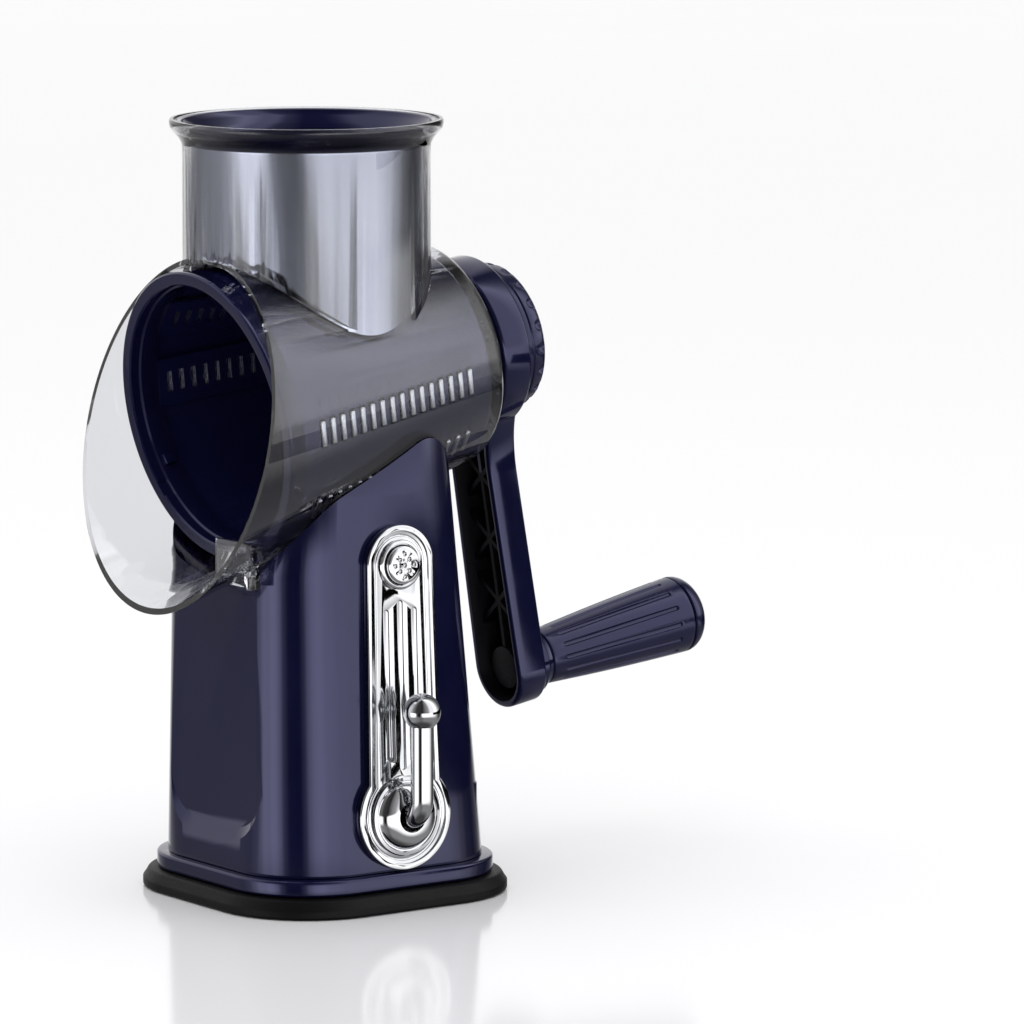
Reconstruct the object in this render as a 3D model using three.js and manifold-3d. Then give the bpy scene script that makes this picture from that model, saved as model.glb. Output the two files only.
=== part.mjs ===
import * as THREE from 'three';
import { mergeVertices } from 'three/addons/utils/BufferGeometryUtils.js';
import Module from 'manifold-3d';

const wasm = await Module();
wasm.setup();

// Drum and crank axis: it passes x = 0, y = 0 at axisHeight and dips towards the mouth.
const axisHeight = 185;
const axisTilt = 9.2;
const gap = 0.3;
const round = 32;
const fine = 12;

// Column and base.
const skirtBottom = 7.3;
const skirtTop = 13.2;
const skirtHalf = 53.2;
const skirtCorner = 32;
const deckBottom = 10;
const footTop = 7;
const footHalf = 58.3;
const footCorner = 37;
const columnBottom = 13.5;
const columnTop = 188;
const columnHalf = 49.7;
const columnCorner = 30;
const columnCornerTop = 26;
const sideTaper = 4.5 / 136;
const rearTaper = 12.3 / 136;
const frontTaper = 2 / 136;
const columnWall = 3;
const panelHalf = 29;
const panelBottom = 21.6;
const panelTop = 112;
const panelCorner = 10;
const panelDepth = 1.3;
const screwPlace = 36.5;
const bossRadius = 4.8;
const bossTop = 40;
const screwRadius = 1.6;
const screwHead = 3.2;
const screwLength = 24;

// Suction pad and its lift.
const padRadius = 45.7;
const padThickness = 2.2;
const padHole = 46;
const padBossRadius = 9;
const padBossTop = 9;
const stemRadius = 4;
const pivotHeight = 33.7;
const camRadius = 7.5;
const camOffset = 2.12;
const camHalf = 3;
const yokeHalf = 2.5;
const shaftRadius = 4;
const uprightNear = 8;
const uprightFar = 12;
const uprightTop = 44;
const yokeHole = 14;

// Lever plate on the +X face, with its own upright axis leaning with the face.
const plateLean = 1.895;
const plateFace = 49.03;
const plateThickness = 2;
const plateRim = 1.2;
const rimWidth = 2.2;
const plateTopRadius = 14.3;
const plateTopCentre = 91;
const plateFootRadius = 19.75;
const plateWaist = 15.3;
const fluteWidth = 2.5;
const flutePitch = 6.1;
const fluteDepth = 0.9;
const domeRadius = 14.6;
const buttonRadius = 6.8;
const buttonHole = 7.1;
const bezelRadius = 9;
const buttonProud = 6.2;
const leverReach = 62.5;
const rodRadius = 4.1;
const bendRadius = 7;
const ballHeight = 73;
const ballRadius = 6.8;

// Clear housing.
const coneBase = 49.6;
const coneSlope = 0.165;
const housingWall = 2;
const housingRear = 53;
const housingFront = -96;
const rimPlace = -62.9;
const rimSlope = 0.39;
const hopperRadius = 44.9;
const hopperPlace = -6.8;
const hopperTop = 282;
const tongueHalfX = 8;
const tongueHalfY = 10;
const tongueBottom = 117;

// Drum.
const drumBase = 45.5;
const drumSlope = 0.15;
const drumFront = -45;
const drumRear = 48;
const drumWall = 2;
const rowAngles = [-5, -40, 174, 140];
const slotCount = 16;
const slotPitch = 4.8;
const slotLong = 10.6;
const slotWide = 3;
const toothLong = 9.4;
const toothWide = 2.2;
const toothProud = 0.8;
const hexRadius = 6.4;

// Crank.
const armNear = 58.5;
const coreNear = 63;
const armFar = 71;
const armLength = 123.5;
const hubRadius = 32;
const armEndRadius = 14.6;
const armWaist = 12.8;
const armWall = 2.4;
const armFloor = 2.4;
const knobRadius = 27.3;
const knobFar = 82.6;
const gripRoot = 77.3;
const gripEnd = 141;
const gripRootRadius = 10.3;
const gripEndRadius = 14.5;
const gripTip = 150;
const fluteCount = 14;

const finish = {
  navy: { color: 0x2b2a4d, roughness: 0.2, metalness: 0 },
  rubber: { color: 0x141416, roughness: 0.7, metalness: 0 },
  chrome: { color: 0xd8dade, roughness: 0.08, metalness: 1 },
  steel: { color: 0xb9bcc2, roughness: 0.3, metalness: 1 },
  clear: { color: 0xe4e7ec, roughness: 0.05, metalness: 0 },
  dark: { color: 0x1b1c22, roughness: 0.5, metalness: 0 },
  seal: { color: 0xcfd2d6, roughness: 0.6, metalness: 0 },
};

const group = new THREE.Group();

// Signed volume, to tell whether the faces look out.
function signedVolume(points, faces) {
  let sum = 0;
  const a = new THREE.Vector3();
  const b = new THREE.Vector3();
  const c = new THREE.Vector3();
  for (let i = 0; i < faces.length; i += 3) {
    a.fromArray(points, faces[i] * 3);
    b.fromArray(points, faces[i + 1] * 3);
    c.fromArray(points, faces[i + 2] * 3);
    sum += a.dot(b.cross(c));
  }
  return sum / 6;
}

function solid(geometry) {
  const bare = geometry.clone();
  bare.deleteAttribute('normal');
  bare.deleteAttribute('uv');
  const merged = mergeVertices(bare, 1e-4);
  const points = merged.attributes.position.array;
  const index = merged.index.array;
  const faces = [];
  for (let i = 0; i < index.length; i += 3) {
    const [a, b, c] = [index[i], index[i + 1], index[i + 2]];
    if (a !== b && b !== c && a !== c) {
      faces.push(a, b, c);
    }
  }
  if (signedVolume(points, faces) < 0) {
    faces.reverse();
  }
  const mesh = new wasm.Mesh({
    numProp: 3,
    vertProperties: new Float32Array(points),
    triVerts: new Uint32Array(faces),
  });
  return new wasm.Manifold(mesh);
}

function addPart(name, look, body) {
  const mesh = body.getMesh();
  const geometry = new THREE.BufferGeometry();
  geometry.setAttribute('position', new THREE.BufferAttribute(new Float32Array(mesh.vertProperties), 3));
  geometry.setIndex(new THREE.BufferAttribute(new Uint32Array(mesh.triVerts), 1));
  geometry.computeVertexNormals();
  const part = new THREE.Mesh(geometry, new THREE.MeshStandardMaterial(finish[look]));
  part.name = name;
  group.add(part);
}

// Revolved about +Y from [radius, place] pairs.
function turned(profile, segments = round) {
  const points = profile.map(([r, y]) => new THREE.Vector2(r, y));
  const first = profile[0];
  const last = profile[profile.length - 1];
  if (first[0] > 0 || last[0] > 0) {
    points.push(points[0].clone());
  }
  return solid(new THREE.LatheGeometry(points, segments));
}

// Revolved about +Z.
function turnedUp(profile, segments = round) {
  return turned(profile, segments).rotate([90, 0, 0]);
}

// Revolved about +X.
function turnedSide(profile, segments = round) {
  return turned(profile, segments).rotate([0, 0, -90]);
}

function rod(radius, from, to, segments = fine) {
  return turned([[0, from], [radius, from], [radius, to], [0, to]], segments);
}

function box(low, high) {
  const size = high.map((v, i) => v - low[i]);
  const geometry = new THREE.BoxGeometry(...size);
  geometry.translate(...low.map((v, i) => v + size[i] / 2));
  return solid(geometry);
}

function prism(shape, depth, curveSegments = 10) {
  return solid(new THREE.ExtrudeGeometry(shape, { depth, bevelEnabled: false, curveSegments }));
}

// From the drum's own frame, +Y along its axis, to the object's.
function tilted(body) {
  return body.rotate([axisTilt, 0, 0]).translate([0, 0, axisHeight]);
}

// From the lever plate's own frame to the object's.
function onPlate(body) {
  return body.rotate([0, -plateLean, 0]).translate([plateFace, 0, pivotHeight]);
}

function roundedShape(halfX, front, rear, corner) {
  const shape = new THREE.Shape();
  shape.absarc(halfX - corner, front + corner, corner, -Math.PI / 2, 0);
  shape.absarc(halfX - corner, rear - corner, corner, 0, Math.PI / 2);
  shape.absarc(corner - halfX, rear - corner, corner, Math.PI / 2, Math.PI);
  shape.absarc(corner - halfX, front + corner, corner, Math.PI, Math.PI * 1.5);
  shape.closePath();
  return shape;
}

function slab(halfX, corner, bottom, top) {
  const body = prism(roundedShape(halfX, -halfX, halfX, corner), top - bottom, 6);
  return body.translate([0, 0, bottom]);
}

// One level of the tapering column, taken in by inset.
function columnRing(z, inset) {
  const rise = z - columnBottom;
  const part = rise / (columnTop - columnBottom);
  const corner = columnCorner + (columnCornerTop - columnCorner) * part - inset;
  const halfX = columnHalf - sideTaper * rise - inset;
  const front = -columnHalf + frontTaper * rise + inset;
  const rear = columnHalf - rearTaper * rise - inset;
  const steps = 6;
  const points = [];
  const centres = [
    [halfX - corner, front + corner, -90],
    [halfX - corner, rear - corner, 0],
    [corner - halfX, rear - corner, 90],
    [corner - halfX, front + corner, 180],
  ];
  for (const [x, y, start] of centres) {
    for (let i = 0; i <= steps; i += 1) {
      const angle = THREE.MathUtils.degToRad(start + (90 * i) / steps);
      points.push([x + corner * Math.cos(angle), y + corner * Math.sin(angle), z]);
    }
  }
  return points;
}

function loft(rings) {
  const count = rings[0].length;
  const points = rings.flat(2);
  const faces = [];
  for (let level = 0; level < rings.length - 1; level += 1) {
    for (let i = 0; i < count; i += 1) {
      const a = level * count + i;
      const b = level * count + ((i + 1) % count);
      faces.push(a, b, b + count, a, b + count, a + count);
    }
  }
  for (const [level, flip] of [[0, true], [rings.length - 1, false]]) {
    const start = level * count;
    for (let i = 1; i < count - 1; i += 1) {
      faces.push(start, start + (flip ? i + 1 : i), start + (flip ? i : i + 1));
    }
  }
  const geometry = new THREE.BufferGeometry();
  geometry.setAttribute('position', new THREE.BufferAttribute(new Float32Array(points), 3));
  geometry.setIndex(faces);
  return solid(geometry);
}

function column(inset, bottom, top) {
  return loft([columnRing(bottom, inset), columnRing(top, inset)]);
}

// The housing's cone, grown by extra, from one place on its axis to another.
function cone(extra, from, to) {
  const radius = (s) => coneBase - coneSlope * s + extra;
  return tilted(turned([[0, from], [radius(from), from], [radius(to), to], [0, to]]));
}

function corners() {
  const list = [];
  for (const x of [-screwPlace, screwPlace]) {
    for (const y of [-screwPlace, screwPlace]) {
      list.push([x, y]);
    }
  }
  return list;
}

function coil(radius, wire, turns, from, to) {
  const points = [];
  const steps = Math.round(turns * 11);
  for (let i = 0; i <= steps; i += 1) {
    const angle = (i / steps) * turns * Math.PI * 2;
    const z = from + wire + (to - from - 2 * wire) * (i / steps);
    points.push(new THREE.Vector3(radius * Math.cos(angle), radius * Math.sin(angle), z));
  }
  const path = new THREE.CatmullRomCurve3(points);
  const shape = new THREE.Shape();
  shape.absarc(0, 0, wire, 0, Math.PI * 2);
  return solid(new THREE.ExtrudeGeometry(shape, {
    steps, bevelEnabled: false, curveSegments: 2, extrudePath: path,
  }));
}

// The tapering column: hollow, saddled on top for the housing, open below.
function baseShell() {
  const saddle = 90;
  let body = column(0, columnBottom, columnTop);
  const hollowTop = columnTop + 1;
  const hollow = column(columnWall, columnBottom - 1, hollowTop)
    .subtract(cone(gap + columnWall, -saddle, saddle));
  body = body.subtract(cone(gap, -saddle, saddle)).subtract(hollow);
  const above = box([-80, -80, axisHeight - 8], [80, 80, columnTop + 20]);
  body = body.subtract(above);
  const panel = prism(roundedShape(panelHalf, panelBottom, panelTop, panelCorner), 20)
    .rotate([90, 0, 0])
    .translate([0, -columnHalf + panelDepth, 0]);
  body = body.subtract(panel);
  for (const [x, y] of corners()) {
    body = body.add(turnedUp([[0, columnBottom], [bossRadius, columnBottom], [bossRadius, bossTop],
      [0, bossTop]], fine).translate([x, y, 0]));
    body = body.subtract(turnedUp([[0, 0], [screwRadius + gap, 0], [screwRadius + gap, 36],
      [0, 36]], fine).translate([x, y, 0]));
  }
  const web = box([30.5, -9, 113], [33, 9, 145]);
  body = body.add(web.subtract(cone(gap, -saddle, saddle)));
  const slot = box([-tongueHalfX - gap, -tongueHalfY - gap, 100],
    [tongueHalfX + gap, tongueHalfY + gap, 150]);
  body = body.subtract(slot);
  const shaftHole = turnedSide([[0, 30], [6.7, 30], [6.7, 60], [0, 60]], fine)
    .translate([0, 0, pivotHeight]);
  const buttonBore = onPlate(turnedSide([[0, -9], [buttonHole, -9], [buttonHole, 9], [0, 9]], fine)
    .translate([0, 0, plateTopCentre]));
  const stemBore = onPlate(turnedSide([[0, -24], [3.4, -24], [3.4, 0], [0, 0]], fine)
    .translate([0, 0, plateTopCentre]));
  return body.subtract(shaftHole).subtract(buttonBore).subtract(stemBore);
}

// Skirt, deck and the two uprights that carry the cam shaft.
function basePlate() {
  let body = slab(skirtHalf, skirtCorner, skirtBottom, skirtTop);
  body = body.subtract(turnedUp([[0, 0], [padHole + 1, 0], [padHole + 1, deckBottom],
    [0, deckBottom]]));
  body = body.subtract(turnedUp([[0, 5], [yokeHole, 5], [yokeHole, 20], [0, 20]], 20));
  for (const side of [-1, 1]) {
    const near = side * uprightNear;
    const far = side * uprightFar;
    const foot = box([Math.min(near, far), -17, skirtTop - 2], [Math.max(near, far), 17, 18]);
    const post = box([Math.min(near, far), -9, skirtTop - 2], [Math.max(near, far), 9, uprightTop]);
    body = body.add(foot).add(post);
  }
  body = body.subtract(turnedUp([[0, 5], [padBossRadius + 1, 5], [padBossRadius + 1, 14.5],
    [0, 14.5]], 20));
  body = body.subtract(turnedSide([[0, -20], [shaftRadius + 0.3, -20], [shaftRadius + 0.3, 20],
    [0, 20]], fine).translate([0, 0, pivotHeight]));
  for (const [x, y] of corners()) {
    body = body.subtract(turnedUp([[0, 5], [screwHead + gap, 5], [screwHead + gap, 9.8],
      [screwRadius + gap, 9.8], [screwRadius + gap, 20], [0, 20]], fine).translate([x, y, 0]));
  }
  return body;
}

function footRing() {
  const body = slab(footHalf, footCorner, 0, footTop)
    .subtract(slab(footHalf + 2, footCorner, footTop - 2, footTop + 1)
      .subtract(slab(footHalf - 1.5, footCorner - 1.5, footTop - 3, footTop + 2)));
  return body.subtract(turnedUp([[0, -1], [padHole, -1], [padHole, 9], [0, 9]]));
}

function baseScrew(x, y) {
  return turnedUp([[0, 7.6], [1, 7.6], [screwHead, 8], [screwHead, 9.5], [screwRadius, 9.5],
    [screwRadius, 9.5 + screwLength], [0, 11 + screwLength]], 16).translate([x, y, 0]);
}

function suctionPad() {
  return turnedUp([[0, 0], [padRadius, 0], [padRadius, 1.4], [padRadius - 6, padThickness],
    [padBossRadius + 2, padThickness], [padBossRadius, padThickness + 2],
    [padBossRadius, padBossTop], [stemRadius + gap, padBossTop], [stemRadius + gap, 2.5], [0, 2.5]]);
}

function liftYoke() {
  const low = pivotHeight - camOffset - camRadius - 0.4;
  const high = pivotHeight - camOffset + camRadius + 0.4;
  const frame = box([-yokeHalf, -14.6, low - 3.5], [yokeHalf, 14.6, high + 3.5])
    .subtract(box([-yokeHalf - 1, -11.1, low], [yokeHalf + 1, 11.1, high]));
  return frame.add(turnedUp([[0, 2.8], [stemRadius, 2.8], [stemRadius, low - 1], [0, low - 1]], fine));
}

function keyhole(inset) {
  const top = plateTopRadius - inset;
  const foot = plateFootRadius - inset;
  const waist = plateWaist - inset;
  const shape = new THREE.Shape();
  const start = Math.asin(waist / foot);
  const neck = Math.sqrt(foot * foot - waist * waist);
  shape.moveTo(waist, neck);
  shape.lineTo(top, plateTopCentre);
  shape.absarc(0, plateTopCentre, top, 0, Math.PI);
  shape.lineTo(-waist, neck);
  shape.absarc(0, 0, foot, Math.PI / 2 + start, Math.PI * 2.5 - start);
  return shape;
}

// A flat shape in the plate's own Y and Z, standing from one height above it to another.
function plateSlab(shape, from, to, curveSegments = 9) {
  return prism(shape, to - from, curveSegments).translate([0, 0, from]).rotate([90, 0, 0])
    .rotate([0, 0, 90]);
}

function leverPlate() {
  const face = gap + plateThickness;
  const rim = plateSlab(keyhole(0), gap, face + plateRim)
    .subtract(plateSlab(keyhole(rimWidth), face, face + plateRim + 1));
  let body = rim;
  for (const step of [-1, 0, 1]) {
    const y = step * flutePitch;
    const low = step === 0 ? 16.5 : 20.5;
    const high = step === 0 ? 78 : 75;
    const flute = roundedShape(fluteWidth / 2, low, high, fluteWidth / 2 - 0.01);
    body = body.subtract(plateSlab(flute, face - fluteDepth, face + 1, 5)
      .translate([0, y, 0]));
  }
  body = body.subtract(turnedSide([[0, 0], [6.7, 0], [6.7, 9], [0, 9]], fine));
  body = body.subtract(turnedSide([[0, 0], [buttonHole, 0], [buttonHole, 9], [0, 9]], fine)
    .translate([0, 0, plateTopCentre]));
  return onPlate(body);
}

function pivotDome() {
  const seat = 2 * gap + plateThickness;
  return onPlate(turnedSide([[5.6, seat], [domeRadius, seat], [domeRadius, seat + 1.4],
    [domeRadius - 1.8, seat + 1.8], [domeRadius - 2.2, seat + 3], [domeRadius - 4, seat + 3.4],
    [domeRadius - 4.4, seat + 4.2], [8.2, seat + 4.9], [6.6, seat + 5.2], [5.6, seat + 5.2]], 28));
}

function buttonBezel() {
  const seat = 2 * gap + plateThickness;
  return onPlate(turnedSide([[buttonHole, seat], [bezelRadius, seat], [bezelRadius, seat + 1],
    [bezelRadius - 0.6, seat + 1.6], [buttonHole, seat + 1.6]], 28).translate([0, 0, plateTopCentre]));
}

function releaseButton() {
  let cap = turnedSide([[0, -1], [buttonRadius, -1], [buttonRadius, buttonProud - 0.6],
    [buttonRadius - 0.6, buttonProud], [0, buttonProud]], 28);
  const diagonal = Math.SQRT1_2;
  for (const i of [-1, 0, 1]) {
    for (const j of [-1, 0, 1]) {
      const y = (i - j) * 2.9 * diagonal;
      const z = (i + j) * 2.9 * diagonal;
      cap = cap.subtract(turnedSide([[0, buttonProud - 0.5], [0.95, buttonProud - 0.5],
        [0.95, buttonProud + 1], [0, buttonProud + 1]], 6).translate([0, y, z]));
    }
  }
  cap = cap.add(turnedSide([[0, -28], [3, -28], [3, 0], [0, 0]], fine));
  return onPlate(cap.translate([0, 0, plateTopCentre]));
}

function latchSlider() {
  const frame = box([-13, -14, -2], [17, 14, 2]).subtract(box([-tongueHalfX - gap, -10.8, -3],
    [tongueHalfX + 3.6, 10.8, 3]));
  return frame.translate([0, 0, 123.3]);
}

function buttonSpring() {
  return onPlate(coil(4.6, 0.45, 4, 0, 9.4).rotate([0, 90, 0]).translate([-11, 0, plateTopCentre]));
}

function leverRod() {
  const path = new THREE.CurvePath();
  const start = new THREE.Vector3(leverReach, 0, ballHeight - 1);
  const bendTop = new THREE.Vector3(leverReach, 0, pivotHeight + bendRadius);
  const bendEnd = new THREE.Vector3(leverReach - bendRadius, 0, pivotHeight);
  const corner = new THREE.Vector3(leverReach, 0, pivotHeight);
  path.add(new THREE.LineCurve3(start, bendTop));
  path.add(new THREE.QuadraticBezierCurve3(bendTop, corner, bendEnd));
  path.add(new THREE.LineCurve3(bendEnd, new THREE.Vector3(31, 0, pivotHeight)));
  const shape = new THREE.Shape();
  shape.absarc(0, 0, rodRadius, 0, Math.PI * 2);
  return solid(new THREE.ExtrudeGeometry(shape, {
    steps: 22, bevelEnabled: false, curveSegments: 7, extrudePath: path,
  }));
}

function leverBall() {
  const ball = solid(new THREE.SphereGeometry(ballRadius, 20, 12));
  const bore = turnedUp([[0, -9], [rodRadius + 0.15, -9], [rodRadius + 0.15, -0.7], [0, -0.7]], fine);
  return ball.subtract(bore).translate([leverReach, 0, ballHeight]);
}

function camShaft() {
  const socket = turnedSide([[0, -15.5], [3, -15.5], [3, -14], [2.9, -14], [2.9, -13.2], [3.9, -13.2],
    [shaftRadius, 13], [shaftRadius, 27], [6.3, 29], [6.3, 45], [rodRadius + gap, 45],
    [rodRadius + gap, 30.7], [0, 30.7]], fine);
  const flat = box([-5, -6, 3], [5, 6, 6]);
  return socket.subtract(flat).translate([0, 0, pivotHeight]);
}

// The eccentric sits down and to the front at rest, so a quarter turn lifts by twice its offset.
function liftCam() {
  const disc = turnedSide([[0, -camHalf], [camRadius, -camHalf], [camRadius, camHalf], [0, camHalf]], 28)
    .translate([0, camOffset, -camOffset]);
  const bore = turnedSide([[0, -9], [shaftRadius + 0.1, -9], [shaftRadius + 0.1, 9], [0, 9]], fine)
    .subtract(box([-10, -6, 3.1], [10, 6, 6]));
  return disc.subtract(bore).translate([0, 0, pivotHeight]);
}

function shaftClip() {
  const ring = turnedSide([[3.1, -13.9], [5.8, -13.9], [5.8, -13.3], [3.1, -13.3]], fine);
  return ring.subtract(box([-20, -1.6, 0], [0, 1.6, 9])).translate([0, 0, pivotHeight]);
}

function housing() {
  const stretch = 4;
  const hopper = turnedUp([[0, axisHeight], [hopperRadius, axisHeight], [hopperRadius, 269],
    [46.2, 272.5], [47.8, 276], [49.5, 279.5], [49.5, hopperTop], [0, hopperTop]])
    .translate([0, hopperPlace, 0]);
  const mouthOfHopper = turnedUp([[0, axisHeight], [42.4, axisHeight], [42.4, 270.5], [44.5, 275],
    [47.6, 279.2], [47.9, hopperTop + 1], [0, hopperTop + 1]]).translate([0, hopperPlace, 0]);
  const shoulder = coneBase - coneSlope * housingRear;
  const outside = tilted(turned([[0, housingFront], [coneBase - coneSlope * housingFront, housingFront],
    [shoulder + 0.5, housingRear - stretch], [shoulder - 1.2, housingRear - 1],
    [shoulder - 3.5, housingRear], [0, housingRear]]));
  const inside = cone(-housingWall, housingFront - 1, housingRear - housingWall);
  const tongue = box([-tongueHalfX, -tongueHalfY, tongueBottom], [tongueHalfX, tongueHalfY, 142]);
  const reach = 200;
  const cut = Math.atan(rimSlope) * 180 / Math.PI;
  const front = box([-reach, -reach, -reach], [reach, 0, reach]).rotate([-cut, 0, 0])
    .translate([0, rimPlace, 0]);
  let body = outside.subtract(tilted(front)).add(hopper).add(tongue);
  const post = box([31, -55, 118.3], [34, -50.4, 134])
    .subtract(turnedSide([[0, -9], [1.1, -9], [1.1, 9], [0, 9]], 12).translate([32, -53.2, 124]));
  body = body.add(box([8, -52.2, 118.3], [34, -50.4, 134])).add(post);
  body = body.subtract(inside).subtract(mouthOfHopper);
  return body.subtract(tilted(turned([[0, 40], [9, 40], [9, 60], [0, 60]], 20)));
}

function shaftBush() {
  return tilted(turned([[6.1, 48.2], [12, 48.2], [12, 50.2], [8.8, 50.2], [8.8, 58], [6.1, 58]], 20));
}

function shaftSeal() {
  return tilted(turned([[9.1, 53.3], [13, 53.3], [13, 55], [9.1, 55]], 20));
}

function pusher() {
  const arch = (radius) => turned([[0, -80], [radius, -80], [radius, 80], [0, 80]], 56)
    .translate([0, 0, 186.2]);
  const outer = turnedUp([[0, 205], [41.9, 205], [41.9, 271], [43.9, 275.6], [47, 279.8],
    [47.2, 281.6], [0, 281.6]]).translate([0, hopperPlace, 0]);
  const inner = turnedUp([[0, 205], [39.9, 205], [39.9, 271.5], [42, 276], [45, 280.2],
    [45.2, 282], [0, 282]]).translate([0, hopperPlace, 0]);
  return outer.subtract(arch(46.8)).subtract(inner.subtract(arch(49.2)));
}

function drumRadius(s) {
  return drumBase - drumSlope * s;
}

// A block over each slot place of one row, in the drum's own frame.
function rowBlocks(angle, long, wide, low, high) {
  const blocks = [];
  for (let i = 0; i < slotCount; i += 1) {
    const s = (i - (slotCount - 1) / 2) * slotPitch;
    const r = drumRadius(s);
    blocks.push(box([r + low, s - wide / 2, -long / 2], [r + high, s + wide / 2, long / 2]));
  }
  return wasm.Manifold.union(blocks).rotate([0, -angle, 0]);
}

function drumBody() {
  const inner = (s) => drumRadius(s) - drumWall;
  const back = drumRear - 2.5;
  let body = turned([[9.7, 31], [9.7, back], [inner(back), back], [inner(drumFront), drumFront],
    [drumRadius(drumFront), drumFront], [drumRadius(drumRear - 2), drumRear - 2],
    [drumRadius(drumRear) - 2, drumRear], [hexRadius + 1.6, drumRear], [hexRadius + 1.6, 31]]);
  for (const angle of rowAngles) {
    body = body.subtract(rowBlocks(angle, slotLong, slotWide, -5, 5));
  }
  return tilted(body);
}

function driveInsert() {
  const body = turned([[0, 31.5], [hexRadius + 1.3, 31.5], [hexRadius + 1.3, 47.5], [0, 47.5]], 20);
  return tilted(body.subtract(turned([[0, 20], [hexRadius + 0.1, 20], [hexRadius + 0.1, 60], [0, 60]], 6)));
}

function bladeStrip(angle) {
  const top = (s) => drumRadius(s) - drumWall - gap - 1;
  const end = 38.6;
  const side = new THREE.Shape();
  side.moveTo(top(-end) - 0.8, -end);
  side.lineTo(top(-end), -end);
  side.lineTo(top(end), end);
  side.lineTo(top(end) - 0.8, end);
  const sheet = prism(side, 16).translate([0, 0, -8]).rotate([0, -angle, 0]);
  const teeth = rowBlocks(angle, toothLong, toothWide, -drumWall - gap - 1.5, toothProud);
  return tilted(sheet.add(teeth));
}

function drumMouthRing() {
  let body = turned([[47.4, -40], [47.4, -52], [53.2, -52], [52.4, drumFront - gap],
    [49, drumFront - gap], [49, -40]]);
  for (const angle of [20, 140, 260]) {
    body = body.subtract(box([40, -53, -3], [48.6, -48, 3]).rotate([0, angle, 0]));
  }
  return tilted(body);
}

function armShape(inset) {
  const hub = hubRadius - inset;
  const tip = armEndRadius - inset;
  const waist = armWaist - inset;
  const leave = Math.asin(Math.min(0.98, (waist + 4) / hub));
  const shape = new THREE.Shape();
  shape.absarc(0, 0, hub, -Math.PI / 2 + leave, Math.PI * 1.5 - leave);
  shape.quadraticCurveTo(-waist, -hub - 4, -waist, -hub - 16);
  shape.lineTo(-tip, -armLength);
  shape.absarc(0, -armLength, tip, Math.PI, Math.PI * 2);
  shape.lineTo(waist, -hub - 16);
  shape.quadraticCurveTo(waist, -hub - 4, hub * Math.sin(leave), -hub * Math.cos(leave));
  return shape;
}

// A shape seen along the drum's axis, from one place on it to another.
function acrossAxis(shape, from, to, curveSegments = 10) {
  return prism(shape, to - from, curveSegments).translate([0, 0, -to]).rotate([90, 0, 0]);
}

function crankArm() {
  let body = acrossAxis(armShape(0), armNear, armFar);
  const pocket = acrossAxis(armShape(armWall), armNear - 1, armFar - armFloor);
  const cores = rod(11, coreNear, armFar, 32)
    .add(rod(8, coreNear - 1, armFar, fine).translate([0, 0, -armLength]));
  let ribs = box([-1, coreNear, -armLength], [1, armFar, hubRadius - 1])
    .add(box([-hubRadius + 1, coreNear, -1], [hubRadius - 1, armFar, 1]));
  for (const place of [-50, -74, -98]) {
    for (const lean of [-38, 38]) {
      ribs = ribs.add(box([-20, coreNear, -1], [20, armFar, 1]).rotate([0, lean, 0])
        .translate([0, 0, place]));
    }
  }
  const hollow = pocket.subtract(cores).subtract(ribs);
  body = body.subtract(hollow);
  body = body.subtract(turned([[0, 50], [6.3, 50], [6.3, 90], [0, 90]], 6));
  return tilted(body.subtract(rod(4.3, 50, 90).translate([0, 0, -armLength])));
}

function crankShaft() {
  const front = rod(hexRadius - 0.2, 33, 48, 6);
  const middle = rod(6, 47.8, 62.6, 20);
  const rear = rod(6, 62, 71.1, 6);
  return tilted(front.add(middle).add(rear).add(rod(4.4, 71, 78.6)));
}

function crankKnob() {
  let body = turned([[4.7, armFar + 1.6], [14, armFar + 1.6], [14, armFar + gap],
    [knobRadius - 1, armFar + gap], [knobRadius, armFar + 1.4], [knobRadius, knobFar - 2.4],
    [knobRadius - 1.6, knobFar - 0.6], [knobRadius - 5, knobFar], [0, knobFar],
    [0, knobFar - 1.8], [4.7, knobFar - 1.8]]);
  const notches = [];
  for (let i = 0; i < 20; i += 1) {
    notches.push(rod(2.2, armFar + 4, knobFar + 2, 6).translate([0, 0, knobRadius + 0.6])
      .rotate([0, i * 18, 0]));
  }
  return tilted(body.subtract(wasm.Manifold.union(notches)));
}

function knobWasher() {
  return tilted(turned([[4.7, armFar + gap], [11, armFar + gap], [11, armFar + 1.3],
    [4.7, armFar + 1.3]], 20));
}

function atGrip(body) {
  return tilted(body.translate([0, 0, -armLength]));
}

function gripSpindle() {
  return atGrip(turned([[0, coreNear + 0.6], [4, coreNear + 0.6], [4, 136], [3, 136], [3, 140.2],
    [0, 140.2]], fine));
}

function gripCollar() {
  return atGrip(turned([[4.3, armFar + gap], [12.4, armFar + gap], [12.4, armFar + 3],
    [11, armFar + 5.6], [4.3, armFar + 5.6]], 28));
}

function gripRadius(s) {
  return gripRootRadius + ((gripEndRadius - gripRootRadius) * (s - gripRoot)) / (gripEnd - gripRoot);
}

function grip() {
  let body = turned([[4.1, gripRoot], [gripRootRadius - 0.8, gripRoot],
    [gripRootRadius, gripRoot + 1.2], [gripEndRadius, gripEnd], [9, gripEnd], [9, 135.7],
    [4.1, 135.7]], 28);
  const flutes = [];
  for (let i = 0; i < fluteCount; i += 1) {
    const lean = (Math.atan2(gripEndRadius - gripRootRadius, gripEnd - gripRoot) * 180) / Math.PI;
    const groove = rod(1, 0, 52, 4).rotate([lean, 0, 0]).translate([0, 83, gripRadius(83) + 0.3]);
    flutes.push(groove.rotate([0, (i * 360) / fluteCount, 0]));
  }
  return atGrip(body.subtract(wasm.Manifold.union(flutes)));
}

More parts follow.
